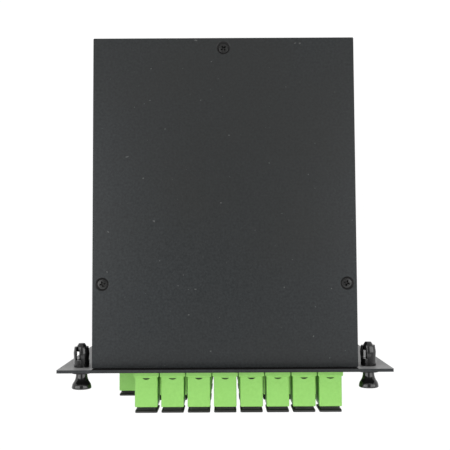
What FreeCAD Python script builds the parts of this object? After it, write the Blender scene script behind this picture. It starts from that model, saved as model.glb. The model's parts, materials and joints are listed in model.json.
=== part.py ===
import FreeCAD, Part
import math
import os
import re
import Sketcher
from FreeCAD import Rotation, Vector

# Plug-in optical splitter module: a folded sheet-metal box with a flat cover, and a wide front plate that
# carries four rows of angled-contact fibre adapters, one input adapter, their dust caps and four latches.
# Frame: X to the right seen from the front, Y from the front plate back into the box, Z up. The origin is
# the centre of the four latches on the back face of the front plate. All sizes are in millimetres.

document = FreeCAD.newDocument("SplitterModule")
sheet = document.addObject("Spreadsheet::Sheet", "Sizes")

SIZES = [
    ("plate_wing", 12.95, "front plate, beyond each side of the box"),
    ("plate_rise", 5.0, "front plate, above the box and below it"),
    ("plate_thickness", 1.2, "front plate sheet"),
    ("plate_corner", 0.5, "front plate corner radius"),
    ("body_depth", 131.6, "box, from the plate's back face to the rear"),
    ("side_gap", 4.225, "gap between the input adapter and the box's side wall"),
    ("roof_gap", 1.4, "gap between the top row's adapters and the cover"),
    ("sheet_thickness", 1.2, "tray sheet"),
    ("cover_thickness", 1.2, "cover sheet"),
    ("cover_corner", 0.5, "cover corner radius"),
    ("bend_inside", 0.6, "inside radius of the tray's bends"),
    ("corner_relief", 1.0, "notch beside a bend"),
    ("flange_reach", 3.6, "front flange of a side wall, from its outer face"),
    ("tab_reach", 8.0, "screw tab, from the wall's outer face"),
    ("tab_width", 10.0, "screw tab, along the wall"),
    ("screw_shank", 2.5, "cover screw thread diameter"),
    ("screw_head", 3.9, "cover screw head diameter"),
    ("screw_length", 5.0, "cover screw, under the flat of its head"),
    ("screw_recess", 0.35, "depth of the cross in a screw head"),
    ("cross_span", 2.2, "cross in a screw head, end to end"),
    ("cross_width", 0.55, "cross in a screw head, width of an arm"),
    ("screw_clearance", 0.03, "radial gap round a screw in its tab"),
    ("cover_hole", 3.0, "countersink diameter at the cover's underside"),
    ("countersink_width", 5.4, "countersink diameter at the cover's top"),
    ("side_screw_back", 32.9, "side screws, behind the plate's back face"),
    ("side_screw_inset", 3.9, "side screws, in from the cover's side edges"),
    ("rear_screw_inset", 4.0, "rear screw, in from the cover's rear edge"),
    ("output_columns", 8, "adapters in a row"),
    ("output_rows", 4, "rows of adapters"),
    ("column_gap", 0.47, "gap between the collars of a row"),
    ("row_pitch", 28.0, "row to row"),
    ("input_gap", 0.82, "input adapter's step to the first column, over a row's own step"),
    ("input_rise", 2.6, "input adapter, above the plate's middle"),
    ("adapter_width", 8.95, "adapter body, across"),
    ("adapter_height", 12.8, "adapter body, up"),
    ("adapter_front", 14.45, "adapter, in front of the plate's front face"),
    ("adapter_back", 13.35, "adapter, behind the plate's back face"),
    ("adapter_corner", 0.25, "adapter long edges"),
    ("adapter_rim", 0.2, "adapter end edges"),
    ("collar_margin", 0.5, "collar, wider than the body on each side"),
    ("collar_depth", 2.7, "collar, in front of the plate"),
    ("collar_bevel", 0.35, "collar front edges"),
    ("window_clearance", 0.15, "plate window round an adapter body"),
    ("socket_width", 7.45, "socket, across"),
    ("socket_height", 9.05, "socket, up"),
    ("web_thickness", 2.0, "wall between an adapter's two sockets"),
    ("key_width", 2.3, "key slot in the top of a socket"),
    ("key_depth", 1.0, "key slot, up into the wall"),
    ("key_length", 8.0, "key slot, in from the adapter's end"),
    ("mark_width", 3.0, "slot in the top of an adapter, across"),
    ("mark_length", 0.6, "slot in the top of an adapter, along it at its middle"),
    ("mark_place", 3.1, "slot in the top of an adapter, in front of the plate"),
    ("mark_depth", 0.5, "slot in the top of an adapter, down"),
    ("holder_diameter", 4.4, "sleeve holder tube"),
    ("holder_bore", 3.3, "sleeve holder bore"),
    ("holder_length", 16.0, "sleeve holder tube, end to end"),
    ("holder_flange", 6.0, "sleeve holder flange diameter"),
    ("holder_seat", 1.0, "sleeve holder flange thickness"),
    ("holder_clearance", 0.05, "gap round the holder in the web"),
    ("sleeve_diameter", 3.2, "alignment sleeve, outside"),
    ("sleeve_bore", 2.5, "alignment sleeve, inside"),
    ("sleeve_length", 11.4, "alignment sleeve"),
    ("sleeve_split", 0.4, "alignment sleeve slit"),
    ("ferrule_diameter", 2.48, "ferrule"),
    ("ferrule_length", 10.0, "ferrule"),
    ("plug_clearance", 0.1, "gap between a plug and its socket, each side"),
    ("plug_standoff", 1.6, "inner plug, behind the web"),
    ("plug_bore", 5.2, "bore of a plug round the sleeve holder"),
    ("grip_width", 8.4, "inner connector grip, across"),
    ("grip_height", 10.4, "inner connector grip, up"),
    ("grip_gap", 0.3, "grip, behind the adapter's end"),
    ("grip_length", 12.0, "inner connector grip"),
    ("boot_length", 12.0, "boot"),
    ("boot_wide", 5.0, "boot diameter at the connector"),
    ("boot_narrow", 3.0, "boot diameter at its end"),
    ("boot_collar", 2.0, "straight start of a boot"),
    ("boot_bore", 1.0, "boot bore"),
    ("fibre_diameter", 0.9, "buffered fibre"),
    ("clip_sheet", 0.3, "adapter clip sheet"),
    ("clip_length", 6.4, "adapter clip, along the adapter"),
    ("clip_gap", 0.3, "adapter clip, behind the plate"),
    ("clip_spring", 0.8, "spread of a clip's tongue at the plate"),
    ("clip_tongue", 4.0, "width of a clip's tongue"),
    ("cap_neck_width", 7.8, "dust cap neck, across"),
    ("cap_neck_height", 9.6, "dust cap neck, up"),
    ("cap_neck_length", 1.35, "dust cap neck"),
    ("cap_flange_width", 8.85, "dust cap flange, across"),
    ("cap_flange_height", 12.7, "dust cap flange, up"),
    ("cap_flange_thickness", 0.9, "dust cap flange"),
    ("cap_edge", 0.2, "dust cap flange edges"),
    ("cap_plug_length", 9.0, "dust cap plug, into the socket"),
    ("cap_bore_clearance", 0.3, "gap between a cap's bore and the sleeve holder"),
    ("latch_inset", 8.2, "latches, in from the plate's ends"),
    ("latch_level", 9.6, "latches, in from the plate's upper and lower edges"),
    ("latch_neck", 5.4, "latch body in its plate hole"),
    ("latch_hole_clearance", 0.05, "gap round a latch body in its plate hole"),
    ("latch_round", 6.1, "latch barrel diameter at the plate"),
    ("latch_round_length", 3.0, "unslotted stretch of the barrel"),
    ("latch_widest", 6.5, "barrel diameter at its widest"),
    ("latch_widest_place", 5.6, "widest place, behind the plate"),
    ("latch_end", 5.75, "barrel diameter at its end"),
    ("latch_length", 8.1, "barrel, behind the plate"),
    ("latch_flange", 8.0, "latch flange diameter"),
    ("latch_flange_thickness", 1.2, "latch flange"),
    ("latch_legs", 3, "legs of a latch barrel"),
    ("latch_slot", 2.1, "slots between the legs"),
    ("latch_bore", 2.1, "latch bore"),
    ("latch_chamber", 4.2, "wider bore inside the legs"),
    ("latch_chamber_start", 1.0, "wider bore, behind the plate"),
    ("pin_clearance", 0.05, "gap round a plunger's pin"),
    ("pin_head_gap", 0.1, "gap round a plunger's head"),
    ("pin_head_length", 1.9, "plunger head, inside the barrel's end"),
    ("tip_length", 1.35, "plunger tip, beyond the barrel"),
    ("tip_diameter", 2.4, "plunger tip at its end"),
    ("knob_neck", 4.45, "knob diameter at the flange"),
    ("knob_rim", 7.8, "knob diameter at its rim"),
    ("knob_reach", 7.35, "knob, in front of the plate's front face"),
    ("knob_rim_length", 1.4, "straight rim of the knob"),
    ("knob_flare", 6.2, "knob diameter at the middle of its flare"),
    ("knob_flare_place", 2.6, "middle of the flare, behind the knob's front"),
    ("knob_waist", 4.9, "knob diameter at the foot of its flare"),
    ("knob_waist_place", 4.2, "foot of the flare, behind the knob's front"),
    ("knob_edge", 0.4, "knob front edge radius"),
    ("chip_width", 5.0, "splitter chip, across"),
    ("chip_height", 2.0, "splitter chip, up"),
    ("chip_length", 40.0, "splitter chip"),
    ("case_width", 7.0, "splitter case, across"),
    ("case_height", 4.0, "splitter case, up"),
    ("case_length", 50.0, "splitter case"),
    ("case_wall", 0.5, "splitter case wall"),
    ("case_side", 30.0, "splitter case, left of the middle"),
    ("case_gap", 26.4, "splitter case, in front of the box's rear wall"),
    ("saddle_base", 1.5, "saddle under the case"),
    ("saddle_grip", 3.2, "saddle walls, above the base"),
    ("saddle_wall", 1.2, "saddle beside the case"),
    ("saddle_length", 16.0, "saddle, along the case"),
    ("saddle_foot", 4.0, "saddle foot beyond its walls"),
    ("saddle_clearance", 0.05, "gap between the case and its saddle"),
    ("block_width", 13.0, "furcation block, across"),
    ("block_length", 8.0, "furcation block"),
    ("block_height", 3.2, "furcation block, up"),
    ("block_place", 80.0, "furcation blocks, behind the plate"),
    ("fan_pitch", 1.6, "fibre to fibre at a block"),
    ("fan_start", 10.0, "first corner of a fibre, from its block and from its boot"),
    ("bracket_sheet", 1.0, "loom bracket sheet"),
    ("bracket_foot", 12.0, "loom bracket foot"),
    ("bracket_rise", 3.0, "loom bracket, above the top block"),
    ("trunk_diameter", 1.4, "ribbon tube"),
    ("trunk_pitch", 1.45, "ribbon tube to ribbon tube at the case"),
    ("trunk_back", 18.0, "ribbon tubes' turn, behind the case"),
    ("input_front", 14.0, "input fibre's turn, in front of the case"),
    ("input_side", 5.5, "input fibre's rise, left of its adapter"),
    ("input_back", 85.0, "input fibre's last turn, behind the plate"),
]

# sizes that follow from the ones above
FOLLOWING = [
    ("column_pitch", "adapter_width + 2 * collar_margin + column_gap", "adapter to adapter along a row"),
    ("input_step", "column_pitch + input_gap", "input adapter, left of the first column"),
    ("body_width", "2 * ((output_columns / 2 - 1) * column_pitch + input_step + adapter_width / 2 + side_gap"
     " + sheet_thickness)", "box, across"),
    ("body_height", "(output_rows - 1) * row_pitch + adapter_height + 2 * (roof_gap + cover_thickness)",
     "box, floor to the top of the cover"),
    ("plate_width", "body_width + 2 * plate_wing", "front plate, across"),
    ("plate_height", "body_height + 2 * plate_rise", "front plate, up"),
    ("latch_spacing", "plate_width - 2 * latch_inset", "latches, across"),
    ("latch_rise", "plate_height - 2 * latch_level", "latches, up"),
    ("case_place", "body_depth - sheet_thickness - case_gap - case_length", "splitter case, behind the plate"),
]

for line, (alias, value, meaning) in enumerate(SIZES + FOLLOWING, start=1):
    sheet.set(f"A{line}", meaning)
    sheet.set(f"B{line}", f"={value}")
    sheet.setAlias(f"B{line}", alias)
document.recompute()

NAMES = {alias for alias, value, meaning in SIZES + FOLLOWING}

# places that several pieces share, each as a formula of the sheet's sizes
PLATE_FRONT = "(-plate_thickness)"
TRAY_BOTTOM = "(-body_height / 2)"
TRAY_TOP = "(body_height / 2 - cover_thickness)"
COVER_TOP = "(body_height / 2)"
HALF_BODY = "(body_width / 2)"
OUTER_BEND = "(sheet_thickness + bend_inside)"
FIRST_COLUMN = "(-(output_columns / 2 - 1) * column_pitch)"
INPUT_COLUMN = f"({FIRST_COLUMN} - input_step)"
TOP_ROW = "((output_rows - 1) / 2 * row_pitch)"
ADAPTER_END = "(-plate_thickness - adapter_front)"
WEB_MIDDLE = "((adapter_back - plate_thickness - adapter_front) / 2)"
WEB_BACK = f"({WEB_MIDDLE} + web_thickness / 2)"
PLUG_WIDTH = "(socket_width - 2 * plug_clearance)"
PLUG_HEIGHT = "(socket_height - 2 * plug_clearance)"
GRIP_START = "(adapter_back + grip_gap)"
GRIP_END = f"({GRIP_START} + grip_length)"
BOOT_END = f"({GRIP_END} + boot_length)"
SIDE_SCREW = f"({HALF_BODY} - side_screw_inset)"
REAR_SCREW = "(body_depth - rear_screw_inset)"
CASE_BOTTOM = f"({TRAY_BOTTOM} + sheet_thickness + saddle_base)"
CASE_MIDDLE = f"({CASE_BOTTOM} + case_height / 2)"
CHIP_START = "(case_place + (case_length - chip_length) / 2)"
CHIP_MIDDLE = f"({CASE_BOTTOM} + case_wall + chip_height / 2)"
LOOM_MIDDLE = "(column_pitch / 2)"
BLOCK_END = "(block_place + block_length)"


def linked(formula):
    """The formula with each size named by its cell in the sheet."""
    return re.sub(r"[a-z_]+", lambda word: f"Sizes.{word[0]}" if word[0] in NAMES else word[0], formula)


def size(formula):
    """The formula's value in millimetres."""
    return float(sheet.evalExpression(str(formula)))


def bind(thing, **formulas):
    """Set properties of an object by formulas, such as Length="plate_thickness"."""
    for name, formula in formulas.items():
        thing.setExpression(name.replace("__", "."), linked(str(formula)))


# share of a run that the arc at its end may use
ARC_SHARE = 0.45

# sub-parts that are written out at the end, by node name
parts = {}


def new_body(label, keep=True, x="0", y="0", z="0"):
    body = document.addObject("PartDesign::Body", label)
    body.Label = label
    bind(body, Placement__Base__x=x, Placement__Base__y=y, Placement__Base__z=z)
    if keep:
        parts[label] = body
    return body


def origin_feature(body, role):
    return next(item for item in body.Origin.OriginFeatures if item.Role == role)


def new_sketch(body, name, plane, offset="0"):
    """A sketch on an origin plane, moved along the plane's normal by the offset."""
    sketch = body.newObject("Sketcher::SketchObject", name)
    sketch.AttachmentSupport = [(origin_feature(body, plane), "")]
    sketch.MapMode = "FlatFace"
    bind(sketch, AttachmentOffset__Base__z=offset)
    return sketch


def pin_point(sketch, shape, point, x, y):
    """Hold one point of a sketch at two formulas."""
    for kind, formula in (("DistanceX", x), ("DistanceY", y)):
        index = sketch.addConstraint(Sketcher.Constraint(kind, -1, 1, shape, point, size(formula)))
        sketch.setExpression(f"Constraints[{index}]", linked(str(formula)))


def draw_outline(sketch, corners):
    """A closed outline of straight lines through corners given as formulas."""
    first = sketch.GeometryCount
    places = [Vector(size(x), size(y), 0) for x, y in corners]
    count = len(corners)
    for index in range(count):
        sketch.addGeometry(Part.LineSegment(places[index], places[(index + 1) % count]), False)
    for index in range(count):
        sketch.addConstraint(
            Sketcher.Constraint("Coincident", first + index, 2, first + (index + 1) % count, 1)
        )
    for index, (x, y) in enumerate(corners):
        pin_point(sketch, first + index, 1, x, y)


def draw_box(sketch, width, height, x="0", y="0"):
    """A rectangle about a centre."""
    left, right = f"({x}) - ({width}) / 2", f"({x}) + ({width}) / 2"
    low, high = f"({y}) - ({height}) / 2", f"({y}) + ({height}) / 2"
    draw_outline(sketch, [(left, low), (right, low), (right, high), (left, high)])


def draw_circle(sketch, diameter, x="0", y="0"):
    place = Vector(size(x), size(y), 0)
    index = sketch.addGeometry(Part.Circle(place, Vector(0, 0, 1), size(diameter) / 2), False)
    pin_point(sketch, index, 3, x, y)
    rule = sketch.addConstraint(Sketcher.Constraint("Diameter", index, size(diameter)))
    sketch.setExpression(f"Constraints[{rule}]", linked(diameter))


def draw_crescent(sketch, width, drop, y):
    """A straight edge at a height, and an arc that hangs below it by the drop."""
    half, low, level = size(width) / 2, size(drop), size(y)
    ends = [Vector(-half, level, 0), Vector(half, level, 0)]
    chord = sketch.addGeometry(Part.LineSegment(ends[1], ends[0]), False)
    bow = sketch.addGeometry(Part.Arc(ends[0], Vector(0, level - low, 0), ends[1]), False)
    sketch.addConstraint(Sketcher.Constraint("Coincident", chord, 2, bow, 1))
    sketch.addConstraint(Sketcher.Constraint("Coincident", chord, 1, bow, 2))
    pin_point(sketch, chord, 1, f"({width}) / 2", y)
    pin_point(sketch, chord, 2, f"-({width}) / 2", y)
    radius = f"(({width})^2 / 4 + ({drop})^2) / (2 * ({drop}))"
    rule = sketch.addConstraint(Sketcher.Constraint("Radius", bow, size(radius)))
    sketch.setExpression(f"Constraints[{rule}]", linked(radius))


def add_pad(body, name, sketch, length, reverse=False, centred=False):
    """Pads on XZ sketches grow towards the front, unless they are reversed."""
    pad = body.newObject("PartDesign::Pad", name)
    pad.Profile = sketch
    pad.Reversed = reverse
    if centred:
        pad.SideType = "Symmetric"
    bind(pad, Length=length)
    return pad


def add_pocket(body, name, sketch, length, reverse=False, centred=False):
    """Pockets cut against the sketch's normal, unless they are reversed. Each has to take material away."""
    document.recompute()
    before = body.Shape.Volume
    pocket = body.newObject("PartDesign::Pocket", name)
    pocket.Profile = sketch
    pocket.Reversed = reverse
    if centred:
        pocket.SideType = "Symmetric"
    bind(pocket, Length=length)
    document.recompute()
    if not body.Shape.Volume < before:
        raise RuntimeError(f"{body.Label} {name} cuts nothing")
    return pocket


def turn(body, name, corners):
    """A solid of revolution about the body's Y axis, from (radius, y) corners."""
    sketch = new_sketch(body, f"{name}Profile", "XY_Plane")
    draw_outline(sketch, corners)
    revolution = body.newObject("PartDesign::Revolution", name)
    revolution.Profile = sketch
    revolution.ReferenceAxis = (sketch, ["V_Axis"])
    revolution.Angle = 360
    return revolution


def edges_where(shape, test):
    """Names of the edges whose ends and middle all pass the test."""
    names = []
    for index, edge in enumerate(shape.Edges, start=1):
        middle = edge.valueAt((edge.FirstParameter + edge.LastParameter) / 2)
        points = [vertex.Point for vertex in edge.Vertexes] + [middle]
        if all(test(point) for point in points):
            names.append(f"Edge{index}")
    return names


def near(value, *targets):
    return any(abs(value - target) < 1e-4 for target in targets)


def soften(body, name, kind, amount, test):
    """Fillet or chamfer the edges of the body's tip that pass the test."""
    document.recompute()
    base = body.Tip
    edges = edges_where(base.Shape, test)
    if not edges:
        raise RuntimeError(f"{body.Label} {name} finds no edge")
    feature = body.newObject(f"PartDesign::{kind}", name)
    feature.Base = (base, edges)
    bind(feature, **{"Radius" if kind == "Fillet" else "Size": amount})
    return feature


def repeat(body, name, axis, pitch, count, backwards=False):
    """Repeat the whole body along one of its axes."""
    document.recompute()
    pattern = body.newObject("PartDesign::LinearPattern", name)
    pattern.TransformMode = "Whole shape"
    pattern.Direction = (origin_feature(body, axis), [""])
    pattern.Reversed = backwards
    pattern.Mode = "Spacing"
    bind(pattern, Offset=pitch, Occurrences=count)
    body.Tip = pattern
    return pattern


def repeat_cut(body, name, cut, directions):
    """Repeat one cut along two axes."""
    grid = body.newObject("PartDesign::MultiTransform", name)
    grid.Originals = [cut]
    steps = []
    for axis, pitch, count, backwards in directions:
        step = body.newObject("PartDesign::LinearPattern", f"{name}{axis}")
        step.Direction = (origin_feature(body, axis), [""])
        step.Reversed = backwards
        step.Mode = "Spacing"
        bind(step, Offset=pitch, Occurrences=count)
        steps.append(step)
    grid.Transformations = steps
    body.Tip = grid
    return grid


def at_every_adapter(label, build):
    """One node that holds the same piece at every output adapter and at the input adapter."""
    outputs = new_body(f"{label}_outputs", False, x=FIRST_COLUMN, z=TOP_ROW)
    build(outputs)
    repeat(outputs, "Columns", "X_Axis", "column_pitch", "output_columns")
    repeat(outputs, "Rows", "Z_Axis", "row_pitch", "output_rows", backwards=True)
    single = new_body(f"{label}_single", False, x=INPUT_COLUMN, z="input_rise")
    build(single)
    group(label, [outputs, single])


def group(label, bodies):
    compound = document.addObject("Part::Compound", label)
    compound.Label = label
    compound.Links = bodies
    parts[label] = compound


def arc_path(points):
    """Straight runs through the points, joined by tangent arcs that use up most of the shorter run."""
    edges = []
    start = points[0]
    for before, corner, after in zip(points, points[1:], points[2:]):
        back, ahead = (before - corner), (after - corner)
        shorter = min(back.Length, ahead.Length)
        half_turn = (math.pi - back.getAngle(ahead)) / 2
        reach = ARC_SHARE * shorter
        radius = reach / math.tan(half_turn)
        back.normalize()
        ahead.normalize()
        first, last = corner + back * reach, corner + ahead * reach
        inward = (back + ahead).normalize()
        middle = corner + inward * (radius / math.cos(half_turn) - radius)
        edges.append(Part.LineSegment(start, first).toShape())
        edges.append(Part.Arc(first, middle, last).toShape())
        start = last
    edges.append(Part.LineSegment(start, points[-1]).toShape())
    return Part.Wire(edges)


def tube(points, diameter):
    """A round tube along a path of runs and arcs."""
    section = Part.Wire([Part.makeCircle(diameter / 2, points[0], points[1] - points[0])])
    return arc_path(points).makePipeShell([section], True, False)


def add_feature(label, shape):
    feature = document.addObject("Part::Feature", label)
    feature.Label = label
    feature.Shape = shape
    feature.Placement = FreeCAD.Placement()
    parts[label] = feature


# Front plate
def make_front_plate():
    plate = new_body("front_plate")
    sheet_outline = new_sketch(plate, "Outline", "XZ_Plane")
    draw_box(sheet_outline, "plate_width", "plate_height")
    add_pad(plate, "Sheet", sheet_outline, "plate_thickness")
    half_width, half_height = size("plate_width / 2"), size("plate_height / 2")
    soften(
        plate, "Corners", "Fillet", "plate_corner",
        lambda p: near(abs(p.x), half_width) and near(abs(p.z), half_height),
    )

    window_width = "adapter_width + 2 * window_clearance"
    window_height = "adapter_height + 2 * window_clearance"
    window = new_sketch(plate, "OutputWindow", "XZ_Plane")
    draw_box(window, window_width, window_height, FIRST_COLUMN, TOP_ROW)
    first_window = add_pocket(plate, "OutputWindowCut", window, "3 * plate_thickness", centred=True)
    repeat_cut(plate, "OutputWindows", first_window, [
        ("X_Axis", "column_pitch", "output_columns", False), ("Z_Axis", "row_pitch", "output_rows", True),
    ])
    window = new_sketch(plate, "InputWindow", "XZ_Plane")
    draw_box(window, window_width, window_height, INPUT_COLUMN, "input_rise")
    add_pocket(plate, "InputWindowCut", window, "3 * plate_thickness", centred=True)

    holes = new_sketch(plate, "Holes", "XZ_Plane")
    for x in ("-latch_spacing / 2", "latch_spacing / 2"):
        for z in ("-latch_rise / 2", "latch_rise / 2"):
            draw_circle(holes, "latch_neck + 2 * latch_hole_clearance", x, z)
    add_pocket(plate, "LatchHoles", holes, "3 * plate_thickness", centred=True)


# Tray: one folded sheet
def make_tray():
    tray = new_body("tray")
    half = size(HALF_BODY)
    bottom, top, depth = size(TRAY_BOTTOM), size(TRAY_TOP), size("body_depth")
    sheet_gauge, bend = size("sheet_thickness"), size(OUTER_BEND)
    inner = f"{HALF_BODY} - sheet_thickness"
    floor_top = f"{TRAY_BOTTOM} + sheet_thickness"

    # floor and side walls
    channel = new_sketch(tray, "Channel", "XZ_Plane")
    draw_outline(channel, [
        (f"-{HALF_BODY}", TRAY_BOTTOM), (HALF_BODY, TRAY_BOTTOM), (HALF_BODY, TRAY_TOP), (inner, TRAY_TOP),
        (inner, floor_top), (f"-({inner})", floor_top), (f"-({inner})", TRAY_TOP), (f"-{HALF_BODY}", TRAY_TOP),
    ])
    add_pad(tray, "FloorAndSides", channel, "body_depth", reverse=True)
    soften(
        tray, "SideBendsOutside", "Fillet", OUTER_BEND,
        lambda p: near(abs(p.x), half) and near(p.z, bottom),
    )
    soften(
        tray, "SideBendsInside", "Fillet", "bend_inside",
        lambda p: near(abs(p.x), half - sheet_gauge) and near(p.z, bottom + sheet_gauge),
    )

    # rear wall, folded up between the sides, with a notch at each end of its bend
    notch = f"{OUTER_BEND} + corner_relief"
    rear_cut = new_sketch(tray, "RearCut", "XZ_Plane", "-body_depth")
    draw_box(rear_cut, "2 * body_width", f"2 * ({notch})", "0", TRAY_BOTTOM)
    add_pocket(tray, "RoomForRearBend", rear_cut, notch, reverse=True)
    rear = new_sketch(tray, "RearProfile", "YZ_Plane")
    start, rear_inner = f"body_depth - ({notch})", "body_depth - sheet_thickness"
    draw_outline(rear, [
        (start, TRAY_BOTTOM), ("body_depth", TRAY_BOTTOM), ("body_depth", TRAY_TOP),
        (rear_inner, TRAY_TOP), (rear_inner, floor_top), (start, floor_top),
    ])
    add_pad(tray, "RearWall", rear, f"body_width - 2 * {OUTER_BEND}", centred=True)
    soften(tray, "RearBendOutside", "Fillet", OUTER_BEND, lambda p: near(p.y, depth) and near(p.z, bottom))
    soften(
        tray, "RearBendInside", "Fillet", "bend_inside",
        lambda p: near(p.y, depth - sheet_gauge) and near(p.z, bottom + sheet_gauge),
    )

    # front flanges, folded in from the side walls behind the front plate
    front_cut = new_sketch(tray, "FrontCut", "YZ_Plane")
    draw_outline(front_cut, [
        (f"-{OUTER_BEND}", f"{TRAY_BOTTOM} + {OUTER_BEND}"), (OUTER_BEND, f"{TRAY_BOTTOM} + {OUTER_BEND}"),
        (OUTER_BEND, f"{TRAY_TOP} + corner_relief"), (f"-{OUTER_BEND}", f"{TRAY_TOP} + corner_relief"),
    ])
    add_pocket(tray, "RoomForFrontBends", front_cut, "2 * body_width", centred=True)
    relief_top = f"{TRAY_BOTTOM} + {notch}"
    flange = new_sketch(tray, "FlangeProfile", "XY_Plane", relief_top)
    for sign in ("", "-"):
        draw_outline(flange, [
            (f"{sign}{HALF_BODY}", f"2 * {OUTER_BEND}"), (f"{sign}{HALF_BODY}", "0"),
            (f"{sign}({HALF_BODY} - flange_reach)", "0"),
            (f"{sign}({HALF_BODY} - flange_reach)", "sheet_thickness"),
            (f"{sign}({inner})", "sheet_thickness"), (f"{sign}({inner})", f"2 * {OUTER_BEND}"),
        ])
    add_pad(tray, "FrontFlanges", flange, f"{TRAY_TOP} - ({relief_top})")
    soften(
        tray, "FrontBendsOutside", "Fillet", OUTER_BEND,
        lambda p: near(abs(p.x), half) and near(p.y, 0) and p.z > bottom + bend,
    )
    soften(
        tray, "FrontBendsInside", "Fillet", "bend_inside",
        lambda p: near(abs(p.x), half - sheet_gauge) and near(p.y, sheet_gauge) and p.z > bottom + bend,
    )

    # screw tabs, folded in from the tops of the walls
    slit = "tab_width + 2 * corner_relief"
    side_slit = new_sketch(tray, "SideTabSlits", "YZ_Plane")
    draw_box(side_slit, slit, f"2 * {OUTER_BEND}", "side_screw_back", TRAY_TOP)
    add_pocket(tray, "RoomForSideTabs", side_slit, "2 * body_width", centred=True)
    side_tab = new_sketch(tray, "SideTabProfile", "XZ_Plane", "-side_screw_back")
    for sign in ("", "-"):
        draw_outline(side_tab, tab_corners(sign, HALF_BODY))
    add_pad(tray, "SideTabs", side_tab, "tab_width", centred=True)
    soften(
        tray, "SideTabBendsOutside", "Fillet", OUTER_BEND,
        lambda p: near(abs(p.x), half) and near(p.z, top)
        and abs(p.y - size("side_screw_back")) < size("tab_width / 2") + 0.001,
    )
    soften(
        tray, "SideTabBendsInside", "Fillet", "bend_inside",
        lambda p: near(abs(p.x), half - sheet_gauge) and near(p.z, top - sheet_gauge)
        and abs(p.y - size("side_screw_back")) < size("tab_width / 2") + 0.001,
    )
    rear_slit = new_sketch(tray, "RearTabSlit", "XZ_Plane", "-body_depth")
    draw_box(rear_slit, slit, f"2 * {OUTER_BEND}", "0", TRAY_TOP)
    add_pocket(tray, "RoomForRearTab", rear_slit, "2 * sheet_thickness", reverse=True)
    rear_tab = new_sketch(tray, "RearTabProfile", "YZ_Plane")
    draw_outline(rear_tab, tab_corners("", "body_depth"))
    add_pad(tray, "RearTab", rear_tab, "tab_width", centred=True)
    soften(
        tray, "RearTabBendOutside", "Fillet", OUTER_BEND,
        lambda p: near(p.y, depth) and near(p.z, top) and abs(p.x) < size("tab_width / 2") + 0.001,
    )
    soften(
        tray, "RearTabBendInside", "Fillet", "bend_inside",
        lambda p: near(p.y, depth - sheet_gauge) and near(p.z, top - sheet_gauge)
        and abs(p.x) < size("tab_width / 2") + 0.001,
    )
    holes = new_sketch(tray, "TabHoles", "XY_Plane", TRAY_TOP)
    thread = "screw_shank + 2 * screw_clearance"
    draw_circle(holes, thread, SIDE_SCREW, "side_screw_back")
    draw_circle(holes, thread, f"-{SIDE_SCREW}", "side_screw_back")
    draw_circle(holes, thread, "0", REAR_SCREW)
    add_pocket(tray, "ThreadedHoles", holes, "2 * sheet_thickness")


def tab_corners(sign, edge):
    """Outline of a tab that folds in at the top of a wall, whose outer face is at the edge."""
    foot = f"{TRAY_TOP} - 2 * {OUTER_BEND}"
    under = f"{TRAY_TOP} - sheet_thickness"
    return [
        (f"{sign}({edge} - sheet_thickness)", foot), (f"{sign}({edge})", foot), (f"{sign}({edge})", TRAY_TOP),
        (f"{sign}({edge} - tab_reach)", TRAY_TOP), (f"{sign}({edge} - tab_reach)", under),
        (f"{sign}({edge} - sheet_thickness)", under),
    ]


# Cover and its screws
def screw_places():
    return (("0", REAR_SCREW), (SIDE_SCREW, "side_screw_back"), (f"-{SIDE_SCREW}", "side_screw_back"))


def make_cover():
    cover = new_body("cover")
    outline = new_sketch(cover, "Outline", "XY_Plane", TRAY_TOP)
    draw_outline(outline, [
        (f"-{HALF_BODY}", "0"), (HALF_BODY, "0"), (HALF_BODY, "body_depth"), (f"-{HALF_BODY}", "body_depth"),
    ])
    add_pad(cover, "Sheet", outline, "cover_thickness")
    half, depth = size(HALF_BODY), size("body_depth")
    soften(
        cover, "Corners", "Fillet", "cover_corner",
        lambda p: near(abs(p.x), half) and near(p.y, 0, depth),
    )
    holes = new_sketch(cover, "Holes", "XY_Plane", COVER_TOP)
    for x, y in screw_places():
        draw_circle(holes, "cover_hole", x, y)
    add_pocket(cover, "ScrewHoles", holes, "2 * cover_thickness")
    sinks = new_sketch(cover, "Countersinks", "XY_Plane", COVER_TOP)
    for x, y in screw_places():
        draw_circle(sinks, "countersink_width", x, y)
    cone = add_pocket(cover, "Countersinks", sinks, "(countersink_width - cover_hole) / 2")
    cone.TaperAngle = -45


def make_screw(name, x, y):
    """One countersunk screw, its head seated in the cover's countersink."""
    head_top = f"({COVER_TOP} - (countersink_width - screw_head) / 2)"
    screw = new_body(name, False, x=x, y=y)
    profile = new_sketch(screw, "Profile", "XZ_Plane")
    draw_outline(profile, [
        ("0", head_top), ("screw_head / 2", head_top), ("cover_hole / 2", TRAY_TOP),
        ("screw_shank / 2", TRAY_TOP), ("screw_shank / 2", f"{head_top} - screw_length"),
        ("0", f"{head_top} - screw_length"),
    ])
    revolution = screw.newObject("PartDesign::Revolution", "Turned")
    revolution.Profile = profile
    revolution.ReferenceAxis = (profile, ["V_Axis"])
    revolution.Angle = 360
    cross = new_sketch(screw, "Cross", "XY_Plane", head_top)
    arm, slot = "cross_span / 2", "cross_width / 2"
    draw_outline(cross, [
        (slot, slot), (arm, slot), (arm, f"-{slot}"), (slot, f"-{slot}"), (slot, f"-{arm}"),
        (f"-{slot}", f"-{arm}"), (f"-{slot}", f"-{slot}"), (f"-{arm}", f"-{slot}"), (f"-{arm}", slot),
        (f"-{slot}", slot), (f"-{slot}", arm), (slot, arm),
    ])
    add_pocket(screw, "CrossRecess", cross, "screw_recess")
    return screw


def make_cover_screws():
    group("cover_screws", [
        make_screw(f"CoverScrew{number}", x, y) for number, (x, y) in enumerate(screw_places(), start=1)
    ])


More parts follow.
